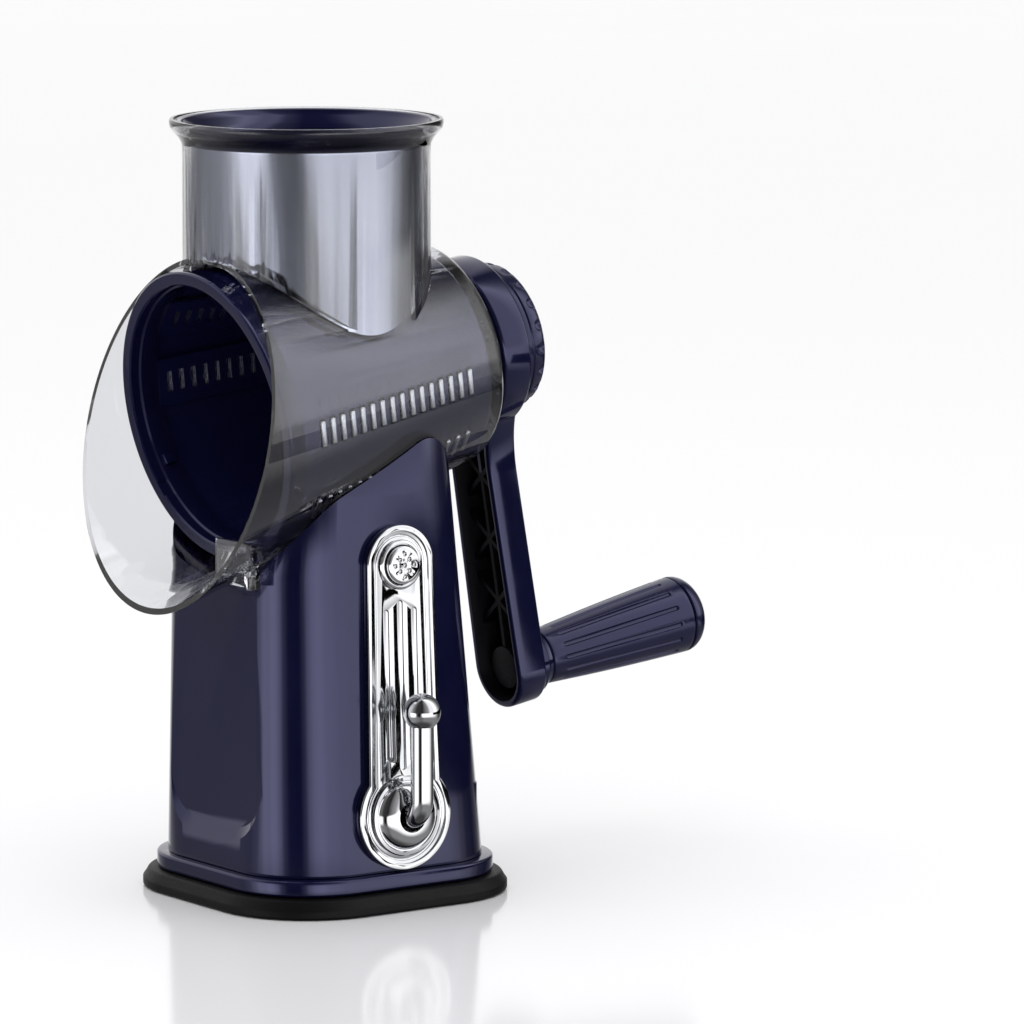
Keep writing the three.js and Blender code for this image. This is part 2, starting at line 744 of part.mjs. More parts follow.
function gripEndCap() {
  return atGrip(turned([[0, 141.3], [gripEndRadius - 0.2, 141.3], [gripEndRadius - 0.1, 143],
    [gripEndRadius - 1, 145.4], [gripEndRadius - 3.4, 147.8], [gripEndRadius - 7.5, 149.4],
    [0, gripTip]], 28));
}

function spindleNut() {
  return atGrip(rod(6.5, 136.3, 139.6, 6).subtract(rod(3.2, 130, 145)));
}

addPart('base_shell', 'navy', baseShell());
addPart('base_plate', 'navy', basePlate());
addPart('foot_ring', 'rubber', footRing());
corners().forEach(([x, y], i) => addPart(`base_screw_${i + 1}`, 'steel', baseScrew(x, y)));
addPart('suction_pad', 'rubber', suctionPad());
addPart('lift_yoke', 'dark', liftYoke());
addPart('pad_spring', 'steel', coil(12, 0.5, 2.5, 2.6, 9.7));
addPart('lever_plate', 'chrome', leverPlate());
addPart('pivot_dome', 'chrome', pivotDome());
addPart('button_bezel', 'chrome', buttonBezel());
addPart('release_button', 'chrome', releaseButton());
addPart('latch_slider', 'dark', latchSlider());
addPart('button_spring', 'steel', buttonSpring());
addPart('lever_rod', 'chrome', leverRod());
addPart('lever_ball', 'chrome', leverBall());
addPart('cam_shaft', 'steel', camShaft());
addPart('lift_cam', 'dark', liftCam());
addPart('shaft_clip', 'steel', shaftClip());
addPart('housing', 'clear', housing());
addPart('shaft_bush', 'dark', shaftBush());
addPart('shaft_seal', 'seal', shaftSeal());
addPart('pusher', 'navy', pusher());
addPart('drum_body', 'navy', drumBody());
addPart('drum_mouth_ring', 'navy', drumMouthRing());
rowAngles.forEach((angle, i) => addPart(`blade_strip_${i + 1}`, 'steel', bladeStrip(angle)));
addPart('drive_insert', 'steel', driveInsert());
addPart('crank_shaft', 'steel', crankShaft());
addPart('crank_arm', 'navy', crankArm());
addPart('crank_knob', 'navy', crankKnob());
addPart('knob_washer', 'steel', knobWasher());
addPart('grip_spindle', 'steel', gripSpindle());
addPart('grip_collar', 'navy', gripCollar());
addPart('grip', 'navy', grip());
addPart('grip_end_cap', 'navy', gripEndCap());
addPart('spindle_nut', 'steel', spindleNut());

export default group;
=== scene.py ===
import math

import bpy
from mathutils import Matrix, Vector


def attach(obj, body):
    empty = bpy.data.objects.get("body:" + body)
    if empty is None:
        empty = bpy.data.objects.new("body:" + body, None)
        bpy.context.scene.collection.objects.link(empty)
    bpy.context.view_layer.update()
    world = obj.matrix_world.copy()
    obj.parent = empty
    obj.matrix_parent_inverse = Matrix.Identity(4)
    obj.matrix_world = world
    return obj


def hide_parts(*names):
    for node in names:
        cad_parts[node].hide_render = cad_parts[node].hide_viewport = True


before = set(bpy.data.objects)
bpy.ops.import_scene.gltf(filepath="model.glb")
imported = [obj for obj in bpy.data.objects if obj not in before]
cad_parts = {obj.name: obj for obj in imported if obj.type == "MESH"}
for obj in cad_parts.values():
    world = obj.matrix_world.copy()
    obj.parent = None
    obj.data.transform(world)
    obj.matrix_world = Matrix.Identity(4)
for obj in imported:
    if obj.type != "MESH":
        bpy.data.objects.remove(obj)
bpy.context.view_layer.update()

print("frame loaded")

# Sizes in the dictionaries are in millimetres and degrees.
axis = {"height": 185.0, "tilt": 9.2}  # drum and crank axis, mouth down
plateSeat = {"face": 49.03, "pivot": 33.7, "lean": 1.895}  # lever plate's own frame on the +X side


def mm(value):
    return value / 1000


# --- small workshop helpers


def deselect():
    if bpy.context.object and bpy.context.object.mode != "OBJECT":
        bpy.ops.object.mode_set(mode="OBJECT")
    bpy.ops.object.select_all(action="DESELECT")


def pick(piece):
    deselect()
    piece.select_set(True)
    bpy.context.view_layer.objects.active = piece


def edit(piece, everything=True):
    pick(piece)
    bpy.ops.object.mode_set(mode="EDIT")
    bpy.ops.mesh.select_all(action="SELECT" if everything else "DESELECT")


def leave():
    bpy.ops.object.mode_set(mode="OBJECT")


def place(piece, matrix):
    pick(piece)
    piece.matrix_world = matrix @ piece.matrix_world
    bpy.ops.object.transform_apply(location=True, rotation=True, scale=True)
    return piece


def shift(piece, x=0.0, y=0.0, z=0.0):
    return place(piece, Matrix.Translation((mm(x), mm(y), mm(z))))


def turn(piece, angle, about):
    return place(piece, Matrix.Rotation(math.radians(angle), 4, about))


def onAxis(piece):  # local +Z becomes the drum's axis and local +Y points down
    laid = Matrix.Rotation(-math.radians(90 - axis["tilt"]), 4, "X")
    return place(piece, Matrix.Translation((0, 0, mm(axis["height"]))) @ laid)


def onPlate(piece):  # local X runs across the lever plate, Y up it and Z out of it
    lean = Matrix.Rotation(-math.radians(plateSeat["lean"]), 4, "Y")
    upright = Matrix.Rotation(math.pi / 2, 4, "Z") @ Matrix.Rotation(math.pi / 2, 4, "X")
    seat = Matrix.Translation((mm(plateSeat["face"]), 0, mm(plateSeat["pivot"])))
    return place(piece, seat @ lean @ upright)


def closeUp(piece, merge=0.01):
    edit(piece)
    bpy.ops.mesh.remove_doubles(threshold=mm(merge))
    bpy.ops.mesh.normals_make_consistent(inside=False)
    leave()
    return piece


def newPiece(name, points, edges, faces):
    mesh = bpy.data.meshes.new(name)
    mesh.from_pydata([[mm(c) for c in p] for p in points], edges, faces)
    piece = bpy.data.objects.new(name, mesh)
    bpy.context.scene.collection.objects.link(piece)
    return piece


def turned(name, profile, steps=96):  # a profile of (radius, height) spun about Z
    points = [(r, 0, z) for r, z in profile]
    edges = [(i, i + 1) for i in range(len(points) - 1)]
    if profile[0][0] > 0 or profile[-1][0] > 0:
        edges.append((len(points) - 1, 0))
    piece = newPiece(name, points, edges, [])
    edit(piece)
    bpy.ops.mesh.spin(steps=steps, angle=math.radians(360), center=(0, 0, 0), axis=(0, 0, 1))
    leave()
    return closeUp(piece, 0.004)


def arc(x, y, radius, start, end, steps=16):
    found = []
    for i in range(steps + 1):
        angle = math.radians(start + (end - start) * i / steps)
        found.append((x + radius * math.cos(angle), y + radius * math.sin(angle)))
    return found


def roundedOutline(halfX, front, rear, corner, steps=16):
    return (arc(halfX - corner, front + corner, corner, -90, 0, steps)
            + arc(halfX - corner, rear - corner, corner, 0, 90, steps)
            + arc(corner - halfX, rear - corner, corner, 90, 180, steps)
            + arc(corner - halfX, front + corner, corner, 180, 270, steps))


def slab(name, outline, low, high):  # a flat outline drawn up into a block
    piece = newPiece(name, [(x, y, low) for x, y in outline], [], [list(range(len(outline)))])
    edit(piece)
    bpy.ops.mesh.extrude_region_move(TRANSFORM_OT_translate={"value": (0, 0, mm(high - low))})
    leave()
    return closeUp(piece, 0.002)


def block(name, low, high):
    deselect()
    centre = [mm((a + b) / 2) for a, b in zip(low, high)]
    bpy.ops.mesh.primitive_cube_add(size=1, location=centre)
    piece = bpy.context.object
    piece.name = name
    piece.scale = [mm(b - a) for a, b in zip(low, high)]
    bpy.ops.object.transform_apply(location=True, rotation=True, scale=True)
    return piece


def rodAlong(name, radius, low, high, steps=48):
    return turned(name, [(0, low), (radius, low), (radius, high), (0, high)], steps)


def useModifier(piece, kind, **settings):
    pick(piece)
    modifier = piece.modifiers.new(kind.title(), kind)
    for key, value in settings.items():
        setattr(modifier, key, value)
    bpy.ops.object.modifier_apply(modifier=modifier.name)
    return piece


def combine(piece, tool, operation):
    useModifier(piece, "BOOLEAN", operation=operation, object=tool, solver="EXACT")
    bpy.data.objects.remove(tool)
    return piece


def cut(piece, *tools):
    for tool in tools:
        combine(piece, tool, "DIFFERENCE")
    return piece


def weld(piece, *tools):
    for tool in tools:
        combine(piece, tool, "UNION")
    return piece


def soften(piece, width, segments=3, angle=32):
    return useModifier(piece, "BEVEL", width=mm(width), segments=segments, limit_method="ANGLE",
                       angle_limit=math.radians(angle), use_clamp_overlap=True)


def copies(base, matrices):  # the same little shape, each with its own mesh, joined in one tool
    made = []
    for matrix in matrices:
        twin = bpy.data.objects.new(base.name + "Copy", base.data.copy())
        bpy.context.scene.collection.objects.link(twin)
        twin.data.transform(matrix)
        made.append(twin)
    bpy.data.objects.remove(base)
    deselect()
    for twin in made:
        twin.select_set(True)
    bpy.context.view_layer.objects.active = made[0]
    bpy.ops.object.join()
    return bpy.context.object


def finished(piece, body, look, nodes, smooth=38):
    pick(piece)
    bpy.ops.object.shade_smooth_by_angle(angle=math.radians(smooth))
    indices = [face.material_index for face in piece.data.polygons]
    piece.data.materials.clear()
    looks = look if isinstance(look, list) else [look]
    for each in looks:
        piece.data.materials.append(each)
    for face, index in zip(piece.data.polygons, indices):
        face.material_index = index if index < len(looks) else 0
    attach(piece, body)
    if nodes:
        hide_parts(*nodes)
    return piece


# --- materials


def linear(hexColour):  # sRGB hex to the linear colour that shaders read
    channels = [int(hexColour[i:i + 2], 16) / 255 for i in (1, 3, 5)]
    return [c / 12.92 if c <= 0.04045 else ((c + 0.055) / 1.055) ** 2.4 for c in channels] + [1]


def addNode(tree, kind, settings=None, links=None):
    node = tree.nodes.new(kind)
    for key, value in (settings or {}).items():
        if isinstance(key, int) or key in node.inputs:
            node.inputs[key].default_value = value
        else:
            setattr(node, key, value)
    for key, socket in (links or {}).items():
        tree.links.new(socket, node.inputs[key])
    return node


def material(name, values):
    look = bpy.data.materials.new(name)
    look.use_nodes = True
    tree = look.node_tree
    shader = tree.nodes["Principled BSDF"]
    for key, value in values.items():
        shader.inputs[key].default_value = value
    coordinates = addNode(tree, "ShaderNodeTexCoord")
    return look, tree, shader, coordinates.outputs["Object"]


def grained(tree, shader, where, size, detail, rough, bump, depth):
    # one noise, its size in mm, gives both the uneven gloss and a shallow relief
    noise = addNode(tree, "ShaderNodeTexNoise", {"Scale": 1 / mm(size), "Detail": detail},
                    {"Vector": where})
    gloss = addNode(tree, "ShaderNodeMapRange", {"From Min": 0.3, "From Max": 0.7, "To Min": rough[0],
                                                 "To Max": rough[1]}, {"Value": noise.outputs[0]})
    tree.links.new(gloss.outputs[0], shader.inputs["Roughness"])
    relief = addNode(tree, "ShaderNodeBump", {"Strength": bump, "Distance": mm(depth)},
                     {"Height": noise.outputs[0]})
    tree.links.new(relief.outputs[0], shader.inputs["Normal"])


def tinted(tree, shader, where, size, first, second):
    # slow drift between two near colours, as moulded or worn surfaces have
    drift = addNode(tree, "ShaderNodeTexNoise", {"Scale": 1 / mm(size), "Detail": 3.0},
                    {"Vector": where})
    ramp = addNode(tree, "ShaderNodeValToRGB", None, {"Fac": drift.outputs[0]})
    ramp.color_ramp.elements[0].position = 0.35
    ramp.color_ramp.elements[0].color = linear(first)
    ramp.color_ramp.elements[1].position = 0.65
    ramp.color_ramp.elements[1].color = linear(second)
    tree.links.new(ramp.outputs[0], shader.inputs["Base Color"])


coolGloss = {"Specular Tint": linear("#ccccff")}  # the navy plastics reflect a little cool


def mouldedNavyAbs():  # high-gloss moulded ABS: sharp reflections, faint orange peel
    look, tree, shader, where = material("mouldedNavyAbs", {"IOR": 1.6, **coolGloss})
    tinted(tree, shader, where, 40, "#0d0e2a", "#10112e")
    grained(tree, shader, where, 9, 2.0, (0.08, 0.12), 0.04, 0.02)
    return look


def satinNavyAbs():  # the grip and knob: the same ABS, its gloss softened by handling
    look, tree, shader, where = material("satinNavyAbs", {"IOR": 1.6, **coolGloss})
    tinted(tree, shader, where, 30, "#0f102b", "#131430")
    grained(tree, shader, where, 1.2, 4.0, (0.16, 0.26), 0.05, 0.02)
    return look


def pearlNavyAbs():  # the cup: ABS with a pearl pigment that lights up like a soft metal
    look, tree, shader, where = material("pearlNavyAbs", {"Metallic": 0.97})
    tinted(tree, shader, where, 50, "#d3d6e4", "#d9dcea")
    grained(tree, shader, where, 30, 1.0, (0.07, 0.1), 0.01, 0.02)
    return look


def pocketShadeNavyAbs():  # inside the arm: the mould's own dull unpolished texture, its colour darkened below the navy as painted shade
    look, tree, shader, where = material("pocketShadeNavyAbs", {"IOR": 1.5, "Specular IOR Level": 0.25})
    # painted shade: near-black navy, darker than the moulded navy, stands in for the shadow the column casts
    # into the pocket
    tinted(tree, shader, where, 20, "#08080f", "#0b0b13")
    grained(tree, shader, where, 0.8, 5.0, (0.45, 0.6), 0.15, 0.03)
    return look


def drumNavyAbs():  # the drum: a little of the same pigment, polished
    look, tree, shader, where = material("drumNavyAbs", {"IOR": 1.7, "Metallic": 0.05,
                                                         "Specular Tint": linear("#ccccff")})
    tinted(tree, shader, where, 40, "#0f1030", "#131435")
    grained(tree, shader, where, 20, 1.0, (0.13, 0.17), 0.02, 0.02)
    return look


def clearSan():  # clear moulded styrene acrylonitrile: bright rims, a breath of grey
    look, tree, shader, where = material("clearSan", {"IOR": 1.45, "Transmission Weight": 1.0,
                                                      "Base Color": linear("#e6e7ea")})
    grained(tree, shader, where, 30, 1.0, (0.0, 0.012), 0.01, 0.05)  # slow flow waves
    return look


def polishedChrome():  # chrome plate on a zinc casting: mirror with hairline haze
    look, tree, shader, where = material("polishedChrome", {"Metallic": 1.0})
    tinted(tree, shader, where, 18, "#c3c4c7", "#cbccce")
    grained(tree, shader, where, 1.5, 5.0, (0.05, 0.1), 0.02, 0.01)
    return look


def brushedSteel():  # ground stainless sheet: fine lines one way, drawn wide enough to show
    look, tree, shader, where = material("brushedSteel", {"Metallic": 1.0})
    stretch = addNode(tree, "ShaderNodeMapping", {"Scale": (1.0, 14.0, 1.0)}, {"Vector": where})
    tinted(tree, shader, where, 9, "#c9cbd0", "#d8dade")
    grained(tree, shader, stretch.outputs[0], 5.6, 4.0, (0.2, 0.34), 0.12, 0.02)
    return look


def springSteel():  # drawn wire: darker, slightly oily
    look, tree, shader, where = material("springSteel", {"Metallic": 1.0})
    tinted(tree, shader, where, 4, "#8d9096", "#a3a6ab")
    grained(tree, shader, where, 0.8, 3.0, (0.25, 0.4), 0.1, 0.01)
    return look


def blackRubber():  # moulded EPDM: dull black with a fine bloom
    look, tree, shader, where = material("blackRubber", {"IOR": 1.5, "Specular IOR Level": 0.15})
    tinted(tree, shader, where, 12, "#070708", "#0a0a0b")
    grained(tree, shader, where, 0.9, 6.0, (0.42, 0.56), 0.2, 0.03)
    return look


def darkAcetal():  # bearings and slides: waxy dark acetal
    look, tree, shader, where = material("darkAcetal", {"IOR": 1.48})
    tinted(tree, shader, where, 10, "#1a1b20", "#202126")
    grained(tree, shader, where, 1, 4.0, (0.32, 0.45), 0.1, 0.02)
    return look


def paleSilicone():  # soft seal: milky grey, low sheen
    look, tree, shader, where = material("paleSilicone", {"IOR": 1.41, "Subsurface Weight": 0.1})
    tinted(tree, shader, where, 6, "#b9bcc0", "#c6c9cc")
    grained(tree, shader, where, 0.7, 4.0, (0.4, 0.55), 0.15, 0.02)
    return look


navy = mouldedNavyAbs()
navySatin = satinNavyAbs()
navyPearl = pearlNavyAbs()
navyDrum = drumNavyAbs()
navyPocketShade = pocketShadeNavyAbs()
clear = clearSan()
chrome = polishedChrome()
steel = brushedSteel()
wire = springSteel()
rubber = blackRubber()
acetal = darkAcetal()
silicone = paleSilicone()
print("materials made")

# --- column and foot

column = {"bottom": 13.5, "top": 176.5, "half": 49.7, "corner": 30, "sideTaper": 4.5 / 136,
          "rearTaper": 12.3 / 136, "frontTaper": 2 / 136, "wall": 3, "panelHalf": 30, "panelLow": 22.5,
          "panelHigh": 150, "panelCorner": 17, "panelDepth": 2.4, "ledge": 4.5, "screwAt": 36.5}
cone = {"base": 49.6, "slope": 0.165, "wall": 2, "rear": 53, "front": -96, "gap": 0.3}


def columnLoft(name, inset, low, high):
    def level(z):
        rise = z - column["bottom"]
        halfX = column["half"] - column["sideTaper"] * rise - inset
        front = -column["half"] + column["frontTaper"] * rise + inset
        rear = column["half"] - column["rearTaper"] * rise - inset
        return halfX, front, rear

    halfX, front, rear = level(low)
    outline = roundedOutline(halfX, front, rear, column["corner"] - inset, 20)
    piece = newPiece(name, [(x, y, low) for x, y in outline], [], [list(range(len(outline)))])
    edit(piece)
    steps = 6
    for i in range(steps):
        z = low + (high - low) * (i + 1) / steps
        halfNew, frontNew, rearNew = level(z)
        bpy.ops.mesh.extrude_region_move(TRANSFORM_OT_translate={
            "value": (0, mm((frontNew + rearNew - front - rear) / 2), mm((high - low) / steps))})
        bpy.ops.transform.resize(value=(halfNew / halfX, (rearNew - frontNew) / (rear - front), 1),
                                 center_override=(0, mm((frontNew + rearNew) / 2), mm(z)))
        halfX, front, rear = halfNew, frontNew, rearNew
    leave()
    return closeUp(piece, 0.002)


def coneTool(name, extra, low, high, steps=128):
    def radius(s):
        return cone["base"] - cone["slope"] * s + extra

    return onAxis(turned(name, [(0, low), (radius(low), low), (radius(high), high), (0, high)], steps))


def makeColumn():
    shell = columnLoft("baseShell", 0, column["bottom"], column["top"])
    hollow = columnLoft("hollow", column["wall"], column["bottom"] - 1, column["top"] + 1)
    cut(hollow, coneTool("roof", cone["gap"] + column["wall"], -90, 90))
    cut(shell, coneTool("saddle", cone["gap"], -90, 90))
    middle = (column["panelLow"] + column["panelHigh"]) / 2
    panel = newPiece("panel", [(x, y, 0) for x, y in roundedOutline(
        column["panelHalf"], column["panelLow"], column["panelHigh"], column["panelCorner"], 16)], [],
        [list(range(68))])
    edit(panel)
    bpy.ops.mesh.extrude_region_move(TRANSFORM_OT_translate={"value": (0, 0, mm(column["panelDepth"]))})
    reach = (column["panelHigh"] - column["panelLow"]) / 2
    narrow = 1 + 1.3 / column["panelHalf"]
    deepen = 1 + column["ledge"] / reach  # the recess opens out, most along the bottom
    bpy.ops.transform.resize(value=(narrow, deepen, 1),
                             center_override=(0, mm(middle), mm(column["panelDepth"])))
    bpy.ops.mesh.extrude_region_move(TRANSFORM_OT_translate={"value": (0, 0, mm(9))})
    leave()
    closeUp(panel)
    turn(panel, 90, "X")
    cut(shell, shift(panel, y=-column["half"] + column["panelDepth"], z=column["ledge"] + 2))
    soften(shell, 0.9, 4, 28)
    cut(shell, hollow)
    for x in (-column["screwAt"], column["screwAt"]):
        for y in (-column["screwAt"], column["screwAt"]):
            post = rodAlong("post", 4.8, 13.5, 40)
            cut(post, rodAlong("pilot", 1.9, 0, 36, 24))
            weld(shell, shift(post, x, y))
            cut(shell, shift(rodAlong("pilot", 1.9, 0, 36, 24), x, y))
    web = block("web", (30.5, -9, 113), (33, 9, 145))
    cut(web, coneTool("saddle", cone["gap"], -90, 90))
    weld(shell, web)
    cut(shell, block("tongueSlot", (-8.3, -10.3, 100), (8.3, 10.3, 150)))
    shaftHole = turn(rodAlong("shaftHole", 6.7, 30, 60), 90, "Y")
    cut(shell, shift(shaftHole, z=plateSeat["pivot"]))
    cut(shell, onPlate(shift(rodAlong("buttonBore", 7.1, -9, 9), y=91)))
    cut(shell, onPlate(shift(rodAlong("stemBore", 3.4, -24, 0), y=91)))
    finished(shell, "base", navy, ["base_shell"], 30)


def makeSkirt():
    sizes = {"half": 53.2, "corner": 32, "low": 7.3, "high": 13.2, "lip": 1.0}
    skirt = slab("basePlate", roundedOutline(sizes["half"], -sizes["half"], sizes["half"],
                                             sizes["corner"], 24), sizes["low"], sizes["high"])
    soften(skirt, sizes["lip"], 4)
    cut(skirt, rodAlong("padRoom", 47, 0, 10, 96), rodAlong("yokeHole", 14, 5, 20, 64))
    for side in (-1, 1):
        low, high = sorted((8 * side, 12 * side))
        upright = block("upright", (low, -9, 11.2), (high, 9, 44))
        weld(upright, block("foot", (low, -17, 11.2), (high, 17, 18)))
        soften(upright, 0.8, 2)
        weld(skirt, upright)
    cut(skirt, rodAlong("bossRoom", 10, 5, 14.5, 48))
    bearing = turn(rodAlong("bearing", 4.3, -20, 20), 90, "Y")
    cut(skirt, shift(bearing, z=plateSeat["pivot"]))
    for x in (-column["screwAt"], column["screwAt"]):
        for y in (-column["screwAt"], column["screwAt"]):
            sink = turned("sink", [(0, 5), (3.5, 5), (3.5, 9.8), (1.9, 9.8), (1.9, 20), (0, 20)], 32)
            cut(skirt, shift(sink, x, y))
    finished(skirt, "base", navy, ["base_plate"])


def makeFoot():
    sizes = {"half": 58.3, "corner": 37, "top": 7, "lip": 1.5}
    foot = newPiece("footRing", [(x, y, 0) for x, y in roundedOutline(
        sizes["half"] - 0.6, -sizes["half"] + 0.6, sizes["half"] - 0.6, sizes["corner"] - 0.6, 24)], [],
        [list(range(100))])
    edit(foot)
    for rise, grow in ((0.8, 0.6), (2.6, 0.0), (1.0, -0.7), (1.6, -0.8), (0.7, -0.5), (0.3, -0.9)):
        bpy.ops.mesh.extrude_region_move(TRANSFORM_OT_translate={"value": (0, 0, mm(rise))})
        scale = 1 + grow / sizes["half"]
        bpy.ops.transform.resize(value=(scale, scale, 1), center_override=(0, 0, 0))
    leave()
    closeUp(foot)
    cut(foot, rodAlong("padRoom", 46, -1, 9, 96))
    soften(foot, 0.3, 2)
    finished(foot, "base", rubber, ["foot_ring"])


def makePad():
    pad = turned("suctionPad", [(0, 0), (45.2, 0), (45.7, 0.5), (45.7, 1.2), (39.5, 2.2), (30, 2.2),
                                (29.4, 1.8), (28.6, 1.8), (28, 2.2), (20, 2.2), (19.4, 1.8), (18.6, 1.8),
                                (18, 2.2), (11.4, 2.2), (10, 2.8), (9, 4.2), (9, 8.6), (8.6, 9),
                                (4.3, 9), (4.3, 2.5), (0, 2.5)], 96)
    finished(pad, "pad", rubber, ["suction_pad"])


makeColumn()
print("column cut and hollowed")
makeSkirt()
makeFoot()
makePad()
print("skirt, foot and pad made")

# --- lever plate, lever and button

plate = {"topRadius": 14.3, "topCentre": 91, "footRadius": 19.75, "waist": 15.3, "low": 0.3, "face": 2.3,
         "rim": 1.2, "rimWidth": 2.2, "flute": 1.25, "flutePitch": 6.1, "fluteLow": (20.5, 16.5, 20.5),
         "fluteHigh": (75, 78, 75), "fluteDepth": 0.9}
lever = {"reach": 62.5, "radius": 4.1, "bend": 8, "ballAt": 73, "ball": 6.8, "inner": 31}


def keyholeOutline(inset):
    waist = plate["waist"] - inset
    foot = plate["footRadius"] - inset
    start = math.degrees(math.asin(waist / foot))
    outline = arc(0, plate["topCentre"], plate["topRadius"] - inset, 0, 180, 40)
    outline += arc(0, 0, foot, 90 + start, 450 - start, 72)
    return outline


def makePlate():
    piece = slab("leverPlate", keyholeOutline(0), plate["low"], plate["face"] + plate["rim"])
    soften(piece, 0.5, 3, 50)
    tray = slab("tray", keyholeOutline(plate["rimWidth"]), plate["face"], plate["face"] + 5)
    cut(piece, tray)
    line = slab("line", keyholeOutline(plate["rimWidth"] + 1.2), plate["face"] - 0.4, plate["face"] + 5)
    cut(line, slab("core", keyholeOutline(plate["rimWidth"] + 2.0), plate["face"] - 2, plate["face"] + 9))
    cut(piece, line)
    for step in (-1, 0, 1):
        low, high = plate["fluteLow"][step + 1], plate["fluteHigh"][step + 1]
        outline = roundedOutline(plate["flute"], low, high, plate["flute"] - 0.01, 10)
        flute = slab("flute", outline, plate["face"] - plate["fluteDepth"], plate["face"] + 2)
        cut(piece, shift(flute, x=step * plate["flutePitch"]))
    cut(piece, rodAlong("shaftHole", 6.7, 0, 9, 48), shift(rodAlong("buttonHole", 7.1, 0, 9, 64), y=91))
    soften(piece, 0.22, 2, 40)
    finished(onPlate(piece), "base", chrome, ["lever_plate"])


def makeDome():
    seat = plate["face"] + 0.3
    dome = turned("pivotDome", [(5.4, seat), (14.3, seat), (14.6, seat + 0.3), (14.6, seat + 1.1),
                                (14.2, seat + 1.5), (13.1, seat + 1.7), (12.7, seat + 1.4),
                                (12.2, seat + 1.4), (11.9, seat + 1.9), (11.3, seat + 3.0),
                                (10.2, seat + 3.9), (9.0, seat + 4.5), (7.6, seat + 4.95),
                                (6.4, seat + 5.15), (5.7, seat + 5.2), (5.4, seat + 4.9)], 96)
    finished(onPlate(dome), "base", chrome, ["pivot_dome"], 24)


def makeBezel():
    seat = plate["face"] + 0.3
    bezel = turned("buttonBezel", [(7.1, seat), (8.8, seat), (9, seat + 0.2), (9, seat + 0.9),
                                   (8.75, seat + 1.3), (8.3, seat + 1.55), (7.8, seat + 1.6),
                                   (7.3, seat + 1.4), (7.1, seat + 1.1)], 72)
    finished(onPlate(shift(bezel, y=91)), "base", chrome, ["button_bezel"], 24)


def makeButton():
    sizes = {"radius": 6.8, "proud": 6.2, "pitch": 2.9, "dimple": 0.95}
    cap = turned("releaseButton", [(0, -28), (2.7, -28), (3, -27.6), (3, -1), (6.5, -1), (6.8, -0.7),
                                   (6.8, 5.2), (6.65, 5.7), (6.2, 6.0), (5.6, 6.05), (3, 6.15),
                                   (0, 6.2)], 72)
    deselect()
    bpy.ops.mesh.primitive_uv_sphere_add(segments=16, ring_count=10, radius=mm(sizes["dimple"]))
    ball = bpy.context.object
    spots = []
    for i in (-1, 0, 1):
        for j in (-1, 0, 1):
            x = (i - j) * sizes["pitch"] * math.sqrt(0.5)
            y = (i + j) * sizes["pitch"] * math.sqrt(0.5)
            spots.append(Matrix.Translation((mm(x), mm(y), mm(sizes["proud"] + 0.25))))
    cut(cap, copies(ball, spots))
    soften(cap, 0.1, 2, 40)
    finished(onPlate(shift(cap, y=91)), "button", chrome, ["release_button"])


def makeLever():
    deselect()
    bpy.ops.mesh.primitive_circle_add(vertices=48, radius=mm(lever["radius"]), fill_type="NGON",
                                      location=(mm(lever["reach"]), 0, mm(lever["ballAt"] - 1)))
    rod = bpy.context.object
    rod.name = "leverRod"
    bpy.ops.object.transform_apply(location=True, rotation=True, scale=True)
    edit(rod)
    drop = lever["ballAt"] - 1 - plateSeat["pivot"] - lever["bend"]
    bpy.ops.mesh.extrude_region_move(TRANSFORM_OT_translate={"value": (0, 0, -mm(drop))})
    pivot = (mm(lever["reach"] - lever["bend"]), 0, mm(plateSeat["pivot"] + lever["bend"]))
    bpy.ops.mesh.spin(steps=16, angle=math.radians(-90), center=pivot, axis=(0, 1, 0))
    inward = lever["reach"] - lever["bend"] - lever["inner"]
    bpy.ops.mesh.extrude_region_move(TRANSFORM_OT_translate={"value": (-mm(inward), 0, 0)})
    leave()
    closeUp(rod)
    finished(rod, "lever", chrome, ["lever_rod"])
    deselect()
    bpy.ops.mesh.primitive_uv_sphere_add(segments=64, ring_count=40, radius=mm(lever["ball"]))
    ball = bpy.context.object
    ball.name = "leverBall"
    cut(ball, rodAlong("socket", lever["radius"] + 0.12, -9, -0.8, 48))
    soften(ball, 0.25, 3, 45)
    shift(ball, lever["reach"], 0, lever["ballAt"])
    finished(ball, "lever", chrome, ["lever_ball"])


makePlate()
makeDome()
makeBezel()
makeButton()
makeLever()
print("lever plate, button and lever made")

# --- clear housing and pusher

hopper = {"radius": 44.9, "at": -6.8, "top": 282, "rimPlace": -62.9, "rimSlope": 0.39}


